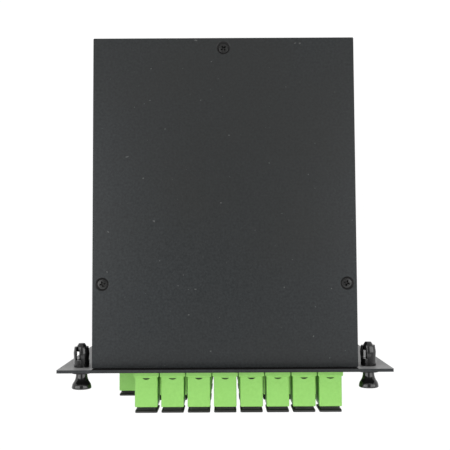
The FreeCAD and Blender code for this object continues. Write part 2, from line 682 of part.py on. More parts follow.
# Latches
def make_latch_grommets():
    """Four split-leg latch bodies. Each profile is turned about Y and the legs are slotted from the end."""
    grommets = new_body("latch_grommets", x="-latch_spacing / 2", z="latch_rise / 2")
    flange_front = f"{PLATE_FRONT} - latch_flange_thickness"
    turn(grommets, "Turned", [
        ("latch_bore / 2", flange_front), ("latch_flange / 2", flange_front),
        ("latch_flange / 2", PLATE_FRONT), ("latch_neck / 2", PLATE_FRONT), ("latch_neck / 2", "0"),
        ("latch_round / 2", "0"), ("latch_round / 2", "latch_round_length"),
        ("latch_widest / 2", "latch_widest_place"), ("latch_end / 2", "latch_length"),
        ("latch_chamber / 2", "latch_length"), ("latch_chamber / 2", "latch_chamber_start"),
        ("latch_bore / 2", "latch_chamber_start"),
    ])
    slot = new_sketch(grommets, "Slot", "XZ_Plane", "-latch_length")
    draw_outline(slot, [
        ("0", "-latch_slot / 2"), ("latch_widest", "-latch_slot / 2"), ("latch_widest", "latch_slot / 2"),
        ("0", "latch_slot / 2"),
    ])
    first_slot = add_pocket(grommets, "LegSlot", slot, "latch_length - latch_round_length", reverse=True)
    around = grommets.newObject("PartDesign::PolarPattern", "LegSlots")
    around.Originals = [first_slot]
    around.Axis = (origin_feature(grommets, "Y_Axis"), [""])
    around.Angle = 360
    bind(around, Occurrences="latch_legs")
    grommets.Tip = around
    repeat(grommets, "Pair", "X_Axis", "latch_spacing", "2")
    repeat(grommets, "Lower", "Z_Axis", "latch_rise", "2", backwards=True)


def make_latch_plunger(number, x, z):
    """A plunger pushed in: its head spreads the legs, and its shoulder rests on the flange."""
    plunger = new_body(f"latch_plunger_{number}", x=x, z=z)
    shoulder = f"({PLATE_FRONT} - latch_flange_thickness)"
    front = f"({PLATE_FRONT} - knob_reach)"
    pin = "(latch_bore / 2 - pin_clearance)"
    head = "(latch_chamber / 2 - pin_head_gap)"
    turn(plunger, "Turned", [
        ("0", front), ("knob_rim / 2", front), ("knob_rim / 2", f"{front} + knob_rim_length"),
        ("knob_flare / 2", f"{front} + knob_flare_place"), ("knob_waist / 2", f"{front} + knob_waist_place"),
        ("knob_neck / 2", shoulder), (pin, shoulder),
        (pin, "latch_length - pin_head_length"), (head, "latch_length - pin_head_length"),
        (head, "latch_length"), ("tip_diameter / 2", "latch_length + tip_length"),
        ("0", "latch_length + tip_length"),
    ])
    front_place, rim = size(front), size("knob_rim / 2")
    soften(
        plunger, "KnobEdge", "Fillet", "knob_edge",
        lambda p: near(p.y, front_place) and near(math.hypot(p.x, p.z), rim, 0),
    )


def make_latch_plungers():
    sides = ("-latch_spacing / 2", "latch_spacing / 2")
    levels = ("latch_rise / 2", "-latch_rise / 2")
    places = [(x, z) for z in levels for x in sides]
    for number, (x, z) in enumerate(places, start=1):
        make_latch_plunger(number, x, z)


# Adapters
def build_adapter(body):
    """One housing with a socket at each end, about its own axis."""
    block = new_sketch(body, "Block", "XZ_Plane", "-adapter_back")
    draw_box(block, "adapter_width", "adapter_height")
    add_pad(body, "BlockPad", block, "adapter_back + plate_thickness + adapter_front")
    half_width, half_height = size("adapter_width / 2"), size("adapter_height / 2")
    soften(
        body, "LongEdges", "Chamfer", "adapter_corner",
        lambda p: near(abs(p.x), half_width) and near(abs(p.z), half_height),
    )
    ends = (size(ADAPTER_END), size("adapter_back"))
    wall = "(adapter_width - socket_width) / 2"
    soften(body, "EndEdges", "Chamfer", f"min(adapter_rim; 0.8 * {wall})", lambda p: near(p.y, *ends))

    collar = new_sketch(body, "Collar", "XZ_Plane", "plate_thickness")
    draw_box(collar, "adapter_width + 2 * collar_margin", "adapter_height + 2 * collar_margin")
    add_pad(body, "CollarPad", collar, "collar_depth")
    collar_front = size("-plate_thickness - collar_depth")
    reach = (half_width + size("collar_margin"), half_height + size("collar_margin"))
    soften(
        body, "CollarEdges", "Chamfer", "collar_bevel",
        lambda p: near(p.y, collar_front) and (near(abs(p.x), reach[0]) or near(abs(p.z), reach[1])),
    )

    socket_depth = "(adapter_back + plate_thickness + adapter_front - web_thickness) / 2"
    for name, offset, reverse in (
        ("Outer", "plate_thickness + adapter_front", False), ("Inner", "-adapter_back", True),
    ):
        socket = new_sketch(body, f"{name}Socket", "XZ_Plane", offset)
        draw_box(socket, "socket_width", "socket_height")
        add_pocket(body, f"{name}SocketCut", socket, socket_depth, reverse=reverse)
        key = new_sketch(body, f"{name}Key", "XZ_Plane", offset)
        draw_box(key, "key_width", "key_depth + 1", "0", "socket_height / 2 + (key_depth - 1) / 2")
        add_pocket(body, f"{name}KeyCut", key, "key_length", reverse=reverse)
    web = new_sketch(body, "WebHole", "XZ_Plane", f"-{WEB_MIDDLE}")
    draw_circle(web, "holder_diameter + 2 * holder_clearance")
    add_pocket(body, "WebHoleCut", web, "2 * web_thickness", centred=True)

    mark = new_sketch(body, "Mark", "XY_Plane", "adapter_height / 2")
    draw_crescent(mark, "mark_width", "mark_length", "-plate_thickness - mark_place")
    add_pocket(body, "MarkCut", mark, "mark_depth")


def make_adapters():
    for row in range(int(size("output_rows"))):
        body = new_body(f"adapters_row_{row + 1}", x=FIRST_COLUMN, z=f"{TOP_ROW} - {row} * row_pitch")
        build_adapter(body)
        repeat(body, "Columns", "X_Axis", "column_pitch", "output_columns")
    build_adapter(new_body("adapter_input", x=INPUT_COLUMN, z="input_rise"))


def build_clip(body):
    """A spring clip: a strap over the top, one side and the bottom, and two tongues that bear on the plate."""
    high = "adapter_height / 2"
    wide = "adapter_width / 2"
    strap = new_sketch(body, "Strap", "XZ_Plane", "-clip_gap")
    draw_outline(strap, [
        (wide, high), (wide, f"{high} + clip_sheet"), (f"-{wide} - clip_sheet", f"{high} + clip_sheet"),
        (f"-{wide} - clip_sheet", f"-{high} - clip_sheet"), (wide, f"-{high} - clip_sheet"),
        (wide, f"-{high}"), (f"-{wide}", f"-{high}"), (f"-{wide}", high),
    ])
    add_pad(body, "StrapPad", strap, "clip_length", reverse=True)
    tongues = new_sketch(body, "Tongues", "YZ_Plane")
    root, edge = "clip_gap + clip_length", f"{high} + clip_sheet"
    for sign in ("", "-"):
        draw_outline(tongues, [
            (root, f"{sign}({edge} - clip_sheet / 2)"), (root, f"{sign}({edge})"),
            ("0", f"{sign}({edge} + clip_spring)"),
            ("0", f"{sign}({edge} + clip_spring - clip_sheet)"),
        ])
    add_pad(body, "TonguePad", tongues, "clip_tongue", centred=True)


def build_sleeve_holder(body):
    front = f"({WEB_MIDDLE} - holder_length / 2)"
    back = f"({WEB_MIDDLE} + holder_length / 2)"
    turn(body, "Turned", [
        ("holder_bore / 2", front), ("holder_diameter / 2", front), ("holder_diameter / 2", WEB_BACK),
        ("holder_flange / 2", WEB_BACK), ("holder_flange / 2", f"{WEB_BACK} + holder_seat"),
        ("holder_diameter / 2", f"{WEB_BACK} + holder_seat"), ("holder_diameter / 2", back),
        ("holder_bore / 2", back),
    ])


def build_sleeve(body):
    front = f"{WEB_MIDDLE} - sleeve_length / 2"
    ring = new_sketch(body, "Ring", "XZ_Plane", f"-({front})")
    draw_circle(ring, "sleeve_diameter")
    draw_circle(ring, "sleeve_bore")
    add_pad(body, "Tube", ring, "sleeve_length", reverse=True)
    slit = new_sketch(body, "Slit", "XZ_Plane", f"-({front})")
    draw_box(slit, "sleeve_split", "sleeve_diameter", "0", "sleeve_diameter / 2")
    add_pocket(body, "SlitCut", slit, "sleeve_length")


def build_connector(body):
    """The plug in the inner socket and the grip behind the adapter, bored round the sleeve holder."""
    front = f"({WEB_BACK} + plug_standoff)"
    plug = new_sketch(body, "Plug", "XZ_Plane", f"-{front}")
    draw_box(plug, PLUG_WIDTH, PLUG_HEIGHT)
    add_pad(body, "PlugPad", plug, f"{GRIP_START} - {front}", reverse=True)
    grip = new_sketch(body, "Grip", "XZ_Plane", f"-{GRIP_START}")
    draw_box(grip, "grip_width", "grip_height")
    add_pad(body, "GripPad", grip, "grip_length", reverse=True)
    end = size(GRIP_END)
    soften(body, "GripEdges", "Chamfer", "adapter_rim", lambda p: near(p.y, end))
    bore = new_sketch(body, "Bore", "XZ_Plane", f"-{front}")
    draw_circle(bore, "plug_bore")
    add_pocket(body, "BoreCut", bore, f"{WEB_MIDDLE} + holder_length / 2 + plug_clearance - {front}")
    seat = new_sketch(body, "FerruleSeat", "XZ_Plane", f"-{front}")
    draw_circle(seat, "ferrule_diameter")
    add_pocket(body, "FerruleSeatCut", seat, f"{WEB_MIDDLE} + ferrule_length - {front}")


def build_ferrule(body):
    disc = new_sketch(body, "Disc", "XZ_Plane", f"-{WEB_MIDDLE}")
    draw_circle(disc, "ferrule_diameter")
    add_pad(body, "Rod", disc, "ferrule_length", reverse=True)


def build_boot(body):
    turn(body, "Turned", [
        ("boot_bore / 2", GRIP_END), ("boot_wide / 2", GRIP_END), ("boot_wide / 2", f"{GRIP_END} + boot_collar"),
        ("boot_narrow / 2", BOOT_END), ("boot_bore / 2", BOOT_END),
    ])


# Dust caps
def make_dust_cap(label, x, z):
    """A cap on an adapter's outer end: plug in the socket, neck on the end face, flange in front."""
    cap = new_body(label, x=x, z=z)
    plug = new_sketch(cap, "Plug", "XZ_Plane", f"-{ADAPTER_END} - cap_plug_length")
    draw_box(plug, PLUG_WIDTH, PLUG_HEIGHT)
    add_pad(cap, "PlugPad", plug, "cap_plug_length")
    neck = new_sketch(cap, "Neck", "XZ_Plane", f"-{ADAPTER_END}")
    draw_box(neck, "cap_neck_width", "cap_neck_height")
    add_pad(cap, "NeckPad", neck, "cap_neck_length")
    flange = new_sketch(cap, "Flange", "XZ_Plane", f"-{ADAPTER_END} + cap_neck_length")
    draw_box(flange, "cap_flange_width", "cap_flange_height")
    add_pad(cap, "FlangePad", flange, "cap_flange_thickness")
    flange_back = size(f"{ADAPTER_END} - cap_neck_length")
    faces = (flange_back, flange_back - size("cap_flange_thickness"))
    wide, high = size("cap_flange_width / 2"), size("cap_flange_height / 2")
    soften(
        cap, "FlangeEdges", "Chamfer", "cap_edge",
        lambda p: near(p.y, *faces) and (near(abs(p.x), wide) or near(abs(p.z), high)),
    )
    bore = new_sketch(cap, "Bore", "XZ_Plane", f"-{ADAPTER_END} - cap_plug_length")
    draw_circle(bore, "holder_diameter + 2 * cap_bore_clearance")
    holder_front = f"({WEB_MIDDLE} - holder_length / 2)"
    add_pocket(
        cap, "BoreCut", bore,
        f"{ADAPTER_END} + cap_plug_length - {holder_front} + cap_bore_clearance", reverse=True,
    )


def make_dust_caps():
    for row in range(int(size("output_rows"))):
        for column in range(int(size("output_columns"))):
            x = f"{FIRST_COLUMN} + {column} * column_pitch"
            z = f"{TOP_ROW} - {row} * row_pitch"
            make_dust_cap(f"dust_cap_{row + 1}_{column + 1}", x, z)
    make_dust_cap("dust_cap_input", INPUT_COLUMN, "input_rise")


# Splitter and its fibres
def make_splitter():
    case = new_body("splitter_case", x="-case_side", z=CASE_MIDDLE)
    outside = new_sketch(case, "Outside", "XZ_Plane", "-case_place")
    draw_box(outside, "case_width", "case_height")
    draw_box(outside, "case_width - 2 * case_wall", "case_height - 2 * case_wall")
    add_pad(case, "Tube", outside, "case_length", reverse=True)

    chip = new_body("splitter_chip", x="-case_side", z=CHIP_MIDDLE)
    face = new_sketch(chip, "Face", "XZ_Plane", f"-{CHIP_START}")
    draw_box(face, "chip_width", "chip_height")
    add_pad(chip, "Block", face, "chip_length", reverse=True)

    saddle = new_body("splitter_saddle", x="-case_side", z=f"{TRAY_BOTTOM} + sheet_thickness")
    half_in = "(case_width / 2 + saddle_clearance)"
    half_out = f"({half_in} + saddle_wall)"
    profile = new_sketch(saddle, "Profile", "XZ_Plane", "-case_place - (case_length - saddle_length) / 2")
    wall_top = "(saddle_base + saddle_grip)"
    draw_outline(profile, [
        (f"-{half_out} - saddle_foot", "0"), (f"{half_out} + saddle_foot", "0"),
        (f"{half_out} + saddle_foot", "saddle_base"), (half_out, "saddle_base"), (half_out, wall_top),
        (half_in, wall_top), (half_in, "saddle_base"), (f"-{half_in}", "saddle_base"),
        (f"-{half_in}", wall_top), (f"-{half_out}", wall_top), (f"-{half_out}", "saddle_base"),
        (f"-{half_out} - saddle_foot", "saddle_base"),
    ])
    add_pad(saddle, "Moulding", profile, "saddle_length", reverse=True)


def make_loom_bracket():
    """A folded upright whose web carries the furcation blocks on its left face."""
    bracket = new_body("loom_bracket", x=f"{LOOM_MIDDLE} + block_width / 2", z=f"{TRAY_BOTTOM} + sheet_thickness")
    top = f"{TOP_ROW} + block_height / 2 + bracket_rise - ({TRAY_BOTTOM} + sheet_thickness)"
    profile = new_sketch(bracket, "Profile", "XZ_Plane", "-block_place")
    draw_outline(profile, [
        ("0", "0"), ("bracket_foot", "0"), ("bracket_foot", "bracket_sheet"),
        ("bracket_sheet", "bracket_sheet"), ("bracket_sheet", top), ("0", top),
    ])
    add_pad(bracket, "Sheet", profile, "block_length", reverse=True)
    gauge = size("bracket_sheet")
    soften(
        bracket, "BendOutside", "Fillet", "bracket_sheet + bend_inside",
        lambda p: near(p.x, 0) and near(p.z, 0),
    )
    soften(
        bracket, "BendInside", "Fillet", "bend_inside",
        lambda p: near(p.x, gauge) and near(p.z, gauge),
    )


def make_furcation_blocks():
    blocks = new_body("furcation_blocks", x=LOOM_MIDDLE, z=TOP_ROW)
    face = new_sketch(blocks, "Face", "XZ_Plane", "-block_place")
    draw_box(face, "block_width", "block_height")
    add_pad(blocks, "Block", face, "block_length", reverse=True)
    start = size("block_place")
    soften(blocks, "FrontEdges", "Chamfer", "adapter_corner", lambda p: near(p.y, start))
    repeat(blocks, "Rows", "Z_Axis", "row_pitch", "output_rows", backwards=True)


def make_output_fibres():
    """Eight fibres fan out from each block to the connectors of its row."""
    fibres = []
    columns = int(size("output_columns"))
    for row in range(int(size("output_rows"))):
        z = size(TOP_ROW) - row * size("row_pitch")
        for column in range(columns):
            at_block = size(LOOM_MIDDLE) + (column - (columns - 1) / 2) * size("fan_pitch")
            at_boot = size(FIRST_COLUMN) + column * size("column_pitch")
            points = [
                Vector(at_block, size("block_place"), z),
                Vector(at_block, size("block_place - fan_start"), z),
                Vector(at_boot, size(f"{BOOT_END} + fan_start"), z),
                Vector(at_boot, size(GRIP_END), z),
            ]
            fibres.append(tube(points, size("fibre_diameter")))
    add_feature("output_fibres", Part.makeCompound(fibres))


def make_trunk_fibres():
    """One ribbon tube from the chip to each block, and the input fibre from the chip to its connector."""
    rows = int(size("output_rows"))
    level = size(CHIP_MIDDLE)
    chip_end = size(f"{CHIP_START} + chip_length")
    turn_back = size("case_place + case_length + trunk_back")
    tubes = []
    for row in range(rows):
        x = size("-case_side") + (row - (rows - 1) / 2) * size("trunk_pitch")
        z = size(TOP_ROW) - row * size("row_pitch")
        points = [
            Vector(x, chip_end, level),
            Vector(x, turn_back, level),
            Vector(size(LOOM_MIDDLE), turn_back, z),
            Vector(size(LOOM_MIDDLE), size(BLOCK_END), z),
        ]
        tubes.append(tube(points, size("trunk_diameter")))

    left = size(f"{INPUT_COLUMN} - input_side")
    front = size("case_place - input_front")
    upper = size("input_rise")
    points = [
        Vector(size("-case_side"), size(CHIP_START), level),
        Vector(size("-case_side"), front, level),
        Vector(left, front, level),
        Vector(left, size("input_back"), upper),
        Vector(size(INPUT_COLUMN), size(f"{BOOT_END} + fan_start"), upper),
        Vector(size(INPUT_COLUMN), size(GRIP_END), upper),
    ]
    tubes.append(tube(points, size("fibre_diameter")))
    add_feature("trunk_fibres", Part.makeCompound(tubes))


make_front_plate()
make_tray()
make_cover()
make_cover_screws()
make_latch_grommets()
make_latch_plungers()
make_adapters()
make_dust_caps()
at_every_adapter("adapter_clips", build_clip)
at_every_adapter("sleeve_holders", build_sleeve_holder)
at_every_adapter("alignment_sleeves", build_sleeve)
at_every_adapter("inner_connectors", build_connector)
at_every_adapter("connector_ferrules", build_ferrule)
at_every_adapter("connector_boots", build_boot)
make_splitter()
make_loom_bracket()
make_furcation_blocks()
make_output_fibres()
make_trunk_fibres()
document.recompute()

for thing in document.Objects:
    if "Invalid" in thing.State or "Error" in thing.State:
        raise RuntimeError(f"{thing.Label} failed: {thing.State}")
for name, thing in parts.items():
    if thing.Shape.isNull() or not thing.Shape.isValid():
        raise RuntimeError(f"{name} has no valid shape")

os.makedirs("parts", exist_ok=True)
for name, thing in parts.items():
    thing.Shape.exportStep(f"parts/{name}.step")
print(len(parts), "sub-parts written")
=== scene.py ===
import json
import math

import bmesh
import bpy
from mathutils import Matrix, Vector


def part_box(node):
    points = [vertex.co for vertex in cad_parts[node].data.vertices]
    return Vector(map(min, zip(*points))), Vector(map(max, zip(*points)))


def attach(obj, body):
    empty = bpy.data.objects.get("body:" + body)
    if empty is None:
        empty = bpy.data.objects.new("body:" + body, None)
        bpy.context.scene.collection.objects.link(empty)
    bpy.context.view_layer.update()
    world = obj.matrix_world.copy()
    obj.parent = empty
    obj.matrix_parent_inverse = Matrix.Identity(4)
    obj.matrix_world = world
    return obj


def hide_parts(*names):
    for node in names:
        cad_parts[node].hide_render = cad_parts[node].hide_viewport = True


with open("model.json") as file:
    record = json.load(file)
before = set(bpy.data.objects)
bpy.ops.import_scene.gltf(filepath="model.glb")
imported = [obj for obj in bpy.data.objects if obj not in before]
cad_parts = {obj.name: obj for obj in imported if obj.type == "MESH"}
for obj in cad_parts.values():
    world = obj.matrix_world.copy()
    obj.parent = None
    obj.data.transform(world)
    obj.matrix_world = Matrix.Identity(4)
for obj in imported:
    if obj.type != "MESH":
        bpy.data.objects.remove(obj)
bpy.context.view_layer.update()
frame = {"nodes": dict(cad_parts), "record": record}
RECORD = frame["record"]
SLOT_OF = {part["node"]: part["material_slot"] for part in RECORD["subparts"]}
BODY_OF = {node: body for body, nodes in RECORD["behaviour"]["bodies"].items() for node in nodes}
MM = 0.001
SAME_POINT = 0.002 * MM  # corners of neighbouring faces that are this close are one corner
bpy.context.scene.view_settings.view_transform = "Standard"


# Materials: every finish is made of noise at the scale of the real surface, in object coordinates
def empty_material(name):
    """A new material and its node tree, which holds nothing yet."""
    material = bpy.data.materials.new(name)
    material.use_nodes = True
    material.node_tree.nodes.clear()
    return material, material.node_tree


def object_noise(tree, per_mm, detail=2.0, roughness=0.5, stretch=(1, 1, 1)):
    """Noise with about so many features per millimetre."""
    where = tree.nodes.new("ShaderNodeTexCoord")
    mapping = tree.nodes.new("ShaderNodeMapping")
    mapping.inputs["Scale"].default_value = stretch
    noise = tree.nodes.new("ShaderNodeTexNoise")
    noise.inputs["Scale"].default_value = per_mm / MM
    noise.inputs["Detail"].default_value = detail
    noise.inputs["Roughness"].default_value = roughness
    tree.links.new(where.outputs["Object"], mapping.inputs["Vector"])
    tree.links.new(mapping.outputs["Vector"], noise.inputs["Vector"])
    return noise.outputs["Fac"]


def ramp(tree, value, stops):
    """Colours or greys against a value. Each stop is (position, colour)."""
    node = tree.nodes.new("ShaderNodeValToRGB")
    elements = node.color_ramp.elements
    while len(elements) < len(stops):
        elements.new(0.5)
    for element, (position, colour) in zip(elements, stops):
        element.position = position
        element.color = (*colour, 1)
    tree.links.new(value, node.inputs["Fac"])
    return node.outputs["Color"]


def grey(level):
    return (level, level, level)


def tinted(tree, share, colour, tint):
    """The colour, turned to the tint where the share is high."""
    node = tree.nodes.new("ShaderNodeMix")
    node.data_type = "RGBA"
    own, other = (plug for plug in node.inputs if plug.type == "RGBA")
    tree.links.new(share, node.inputs["Factor"])
    tree.links.new(colour, own)
    other.default_value = (*tint, 1)
    return next(plug for plug in node.outputs if plug.type == "RGBA")


def computed(tree, operation, value, second):
    """One step of arithmetic on a value, with a number or with another value."""
    step = tree.nodes.new("ShaderNodeMath")
    step.operation = operation
    tree.links.new(value, step.inputs[0])
    if isinstance(second, float):
        step.inputs[1].default_value = second
    else:
        tree.links.new(second, step.inputs[1])
    return step.outputs[0]


def finish(
    name, dark, light, grain, rough, bump=None, blotch=None, specks=None, stretch=(1, 1, 1), **sockets
):
    """A fine grain between two colours, larger soft blotches, rare specks, a varying gloss and a bump."""
    material, tree = empty_material(name)
    output = tree.nodes.new("ShaderNodeOutputMaterial")
    shader = tree.nodes.new("ShaderNodeBsdfPrincipled")
    tree.links.new(shader.outputs["BSDF"], output.inputs["Surface"])
    fine = object_noise(tree, grain, 3.0, 0.6, stretch)
    colour = ramp(tree, fine, [(0.3, dark), (0.7, light)])
    if blotch:
        per_mm, tint, share = blotch
        patch = ramp(tree, object_noise(tree, per_mm, 2.0), [(0.42, grey(0.0)), (0.68, grey(share))])
        colour = tinted(tree, patch, colour, tint)
    if specks:
        per_mm, tint, edge = specks
        dust = ramp(tree, object_noise(tree, per_mm, 0.0), [(edge, grey(0.0)), (edge + 0.02, grey(1.0))])
        colour = tinted(tree, dust, colour, tint)
    tree.links.new(colour, shader.inputs["Base Color"])
    smooth, coarse = rough
    gloss = ramp(tree, object_noise(tree, grain * 0.4, 2.0), [(0.3, grey(smooth)), (0.7, grey(coarse))])
    tree.links.new(gloss, shader.inputs["Roughness"])
    if bump:
        per_mm, height = bump
        relief = tree.nodes.new("ShaderNodeBump")
        relief.inputs["Strength"].default_value = 1.0
        relief.inputs["Distance"].default_value = height * MM
        tree.links.new(object_noise(tree, per_mm, 2.0, 0.5, stretch), relief.inputs["Height"])
        tree.links.new(relief.outputs["Normal"], shader.inputs["Normal"])
    for socket, value in sockets.items():
        shader.inputs[socket.replace("_", " ")].default_value = value
    return material


FINISHES = {
    "black_paint": finish(
        "powder_coat", (0.0085, 0.0110, 0.0126), (0.0250, 0.0288, 0.0312), 1.1, (0.31, 0.36),
        bump=(1.2, 0.005), blotch=(0.012, (0.0180, 0.0182, 0.0165), 0.5),
        specks=(0.7, (0.080, 0.082, 0.082), 0.845), Specular_IOR_Level=0.4,
    ),
    "screw_steel": finish(
        "black_oxide", (0.004, 0.004, 0.004), (0.010, 0.010, 0.010), 3.0, (0.22, 0.36), bump=(4.0, 0.008),
    ),
    "latch_plastic": finish(
        "glossy_nylon", (0.003, 0.003, 0.003), (0.007, 0.007, 0.007), 1.2, (0.10, 0.18), bump=(0.6, 0.010),
        Specular_IOR_Level=0.6,
    ),
    "adapter_green": finish(
        "green_moulding", (0.261, 0.592, 0.117), (0.294, 0.637, 0.140), 0.9, (0.34, 0.46), bump=(1.4, 0.008),
        blotch=(0.10, (0.283, 0.631, 0.135), 0.6), specks=(0.30, (0.10, 0.13, 0.06), 0.84),
    ),
    "cap_plastic": finish(
        "soft_black", (0.006, 0.007, 0.005), (0.012, 0.013, 0.010), 1.5, (0.48, 0.62), bump=(2.2, 0.012),
        blotch=(0.15, (0.016, 0.017, 0.014), 0.4),
    ),
    "spring_steel": finish(
        "spring_steel", (0.50, 0.50, 0.50), (0.66, 0.66, 0.65), 6.0, (0.22, 0.36), bump=(5.0, 0.003),
        stretch=(1, 0.08, 1), Metallic=1.0,
    ),
    "natural_plastic": finish(
        "natural_moulding", (0.68, 0.67, 0.62), (0.76, 0.75, 0.71), 0.8, (0.35, 0.5), bump=(1.5, 0.006),
    ),
    "ceramic": finish(
        "zirconia", (0.80, 0.80, 0.78), (0.86, 0.86, 0.84), 1.0, (0.08, 0.14), bump=(2.0, 0.002),
    ),
    "boot_rubber": finish(
        "green_rubber", (0.16, 0.40, 0.08), (0.20, 0.46, 0.10), 1.2, (0.6, 0.75), bump=(2.0, 0.015),
    ),
    "case_steel": finish(
        "plain_steel", (0.48, 0.48, 0.48), (0.60, 0.60, 0.59), 5.0, (0.25, 0.42), bump=(4.0, 0.004),
        stretch=(1, 0.1, 1), Metallic=1.0,
    ),
    "chip_glass": finish(
        "ground_glass", (0.80, 0.86, 0.88), (0.88, 0.92, 0.93), 2.0, (0.25, 0.4), bump=(3.0, 0.004),
        Alpha=0.6,
    ),
    "black_plastic": finish(
        "moulded_black", (0.016, 0.016, 0.017), (0.026, 0.026, 0.027), 1.2, (0.4, 0.55), bump=(1.6, 0.01),
    ),
    "fibre_jacket": finish(
        "white_jacket", (0.74, 0.74, 0.69), (0.80, 0.80, 0.76), 1.5, (0.35, 0.5), bump=(2.5, 0.004),
    ),
    "ribbon_tube": finish(
        "loose_tube", (0.74, 0.75, 0.74), (0.82, 0.82, 0.81), 1.0, (0.25, 0.4), bump=(2.0, 0.004),
    ),
}

for node, piece in frame["nodes"].items():
    piece.data.materials.clear()
    piece.data.materials.append(FINISHES[SLOT_OF[node]])


# Pieces: how a shape is made, and how it is shown on a node's body
def add_piece(name, mesh, node, replaced=True):
    """Show a mesh on the node's body, in the node's finish."""
    piece = bpy.data.objects.new(name, mesh)
    bpy.context.scene.collection.objects.link(piece)
    mesh.materials.clear()
    mesh.materials.append(FINISHES[SLOT_OF[node]])
    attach(piece, BODY_OF[node])
    if replaced:
        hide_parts(node)
    return piece


def smooth_mesh(name, form, sharp):
    """Turn a bmesh into a smooth mesh whose edges above the angle stay sharp."""
    mesh = bpy.data.meshes.new(name)
    form.to_mesh(mesh)
    form.free()
    mesh.shade_smooth()
    mesh.set_sharp_from_angle(angle=math.radians(sharp))
    return mesh


def welded(node, shift=(0, 0, 0)):
    """The node's shape as a bmesh, shifted, with neighbouring faces joined at their corners."""
    form = bmesh.new()
    form.from_mesh(frame["nodes"][node].data)
    bmesh.ops.translate(form, verts=form.verts, vec=shift)
    bmesh.ops.remove_doubles(form, verts=form.verts, dist=SAME_POINT)
    return form


def eased(node, width, segments=2, change=None, twin=None):
    """The node's own shape, or that of an equal node, with hard edges eased as a press or a mould does."""
    level_within, hard_above, any_angle = 0.5, 28, 180
    large_faces_first = 80
    form = welded(twin or node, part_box(node)[0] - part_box(twin or node)[0])
    if change:
        change(form)
    bmesh.ops.dissolve_limit(form, angle_limit=math.radians(level_within), verts=form.verts, edges=form.edges)
    mesh = smooth_mesh(f"{node}_eased", form, any_angle)
    piece = add_piece(f"{node}_eased", mesh, node)
    ease = piece.modifiers.new("ease", "BEVEL")
    ease.width = width * MM
    ease.segments = segments
    ease.limit_method = "ANGLE"
    ease.angle_limit = math.radians(hard_above)
    ease.use_clamp_overlap = False
    ease.miter_outer = "MITER_ARC"
    flat = piece.modifiers.new("flat", "WEIGHTED_NORMAL")
    flat.mode = "FACE_AREA"
    flat.weight = large_faces_first
    return piece


def loop_at(form, y, half_width, half_height, radius, steps=5):
    """A rounded rectangle of vertices in an XZ plane, in millimetres about the origin."""
    corners = [(1, 1, 0), (-1, 1, 90), (-1, -1, 180), (1, -1, 270)]
    ring = []
    for sign_x, sign_z, start in corners:
        for step in range(steps + 1):
            angle = math.radians(start + 90 * step / steps)
            x = sign_x * (half_width - radius) + radius * math.cos(angle)
            z = sign_z * (half_height - radius) + radius * math.sin(angle)
            ring.append(form.verts.new((x * MM, y * MM, z * MM)))
    return ring


def join_loops(form, rings):
    """Skin a row of loops, and close the first and the last."""
    for near, far in zip(rings, rings[1:]):
        count = len(near)
        for index in range(count):
            form.faces.new((near[index], near[(index + 1) % count], far[(index + 1) % count], far[index]))
    form.faces.new(rings[0])
    form.faces.new(rings[-1])
    bmesh.ops.recalc_face_normals(form, faces=form.faces)


def lathe(form, profile, segments=56):
    """Turn (radius, y) points about the Y axis. A radius of 0 closes the end."""
    rings = []
    for radius, y in profile:
        angles = [2 * math.pi * step / segments for step in range(segments if radius else 1)]
        rings.append([
            form.verts.new((radius * math.cos(angle) * MM, y * MM, radius * math.sin(angle) * MM))
            for angle in angles
        ])
    for near, far in zip(rings, rings[1:]):
        for step in range(segments):
            ahead = (step + 1) % segments
            if len(near) == 1:
                form.faces.new((near[0], far[ahead], far[step]))
            elif len(far) == 1:
                form.faces.new((near[step], near[ahead], far[0]))
            else:
                form.faces.new((near[step], near[ahead], far[ahead], far[step]))
    bmesh.ops.recalc_face_normals(form, faces=form.faces)


def in_place_of(node, form, how, sharp):
    """Show a form that was built about the Y axis in the node's place, named after how it is made."""
    low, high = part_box(node)
    middle = (low + high) / 2
    bmesh.ops.translate(form, verts=form.verts, vec=(middle.x, 0, middle.z))
    name = f"{node}_{how}"
    add_piece(name, smooth_mesh(name, form, sharp), node)


# Sheet metal: folded tray and cover with eased edges, and the plain front plate
CASE_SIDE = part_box("tray")[1].x
PLATE_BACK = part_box("front_plate")[1].y


def countersink_shade():
    """The paint in the cover's countersinks: near black, a painted shade that stands for the shade in these
    recesses.
    """
    return finish(
        "countersink_shade", (0.002, 0.002, 0.002), (0.006, 0.006, 0.006), 2.0, (0.40, 0.52), bump=(2.5, 0.01),
        Specular_IOR_Level=0.3,
    )


def coarse_paint_sheen_and_shade():
    """The paint on the plate's back, rougher than the cover's. It has a painted sheen on the wings, from just
    inside the sides of the case, which stands for the white floor's reflection there. Between the wings its
    reflection is turned off, which is a painted shade above the cover.
    """
    inside = 0.6 * MM
    material = finish(
        "coarse_paint_sheen_and_shade", (0.0095, 0.0090, 0.0090), (0.0245, 0.0235, 0.0235), 1.1, (0.44, 0.50),
        bump=(1.2, 0.005), Sheen_Roughness=0.45,
    )
    tree = material.node_tree
    shader = next(node for node in tree.nodes if node.type == "BSDF_PRINCIPLED")
    split = tree.nodes.new("ShaderNodeSeparateXYZ")
    tree.links.new(tree.nodes.new("ShaderNodeTexCoord").outputs["Object"], split.inputs["Vector"])
    off_middle = computed(tree, "ABSOLUTE", split.outputs["X"], 0.0)
    on_wing = computed(tree, "GREATER_THAN", off_middle, CASE_SIDE - inside)
    # Sheen and reflection are on the wings only: a painted sheen there, and painted shade between them where
    # both are off.
    for socket, level in (("Sheen Weight", 0.34), ("Specular IOR Level", 0.4)):
        tree.links.new(computed(tree, "MULTIPLY", on_wing, level), shader.inputs[socket])
    return material


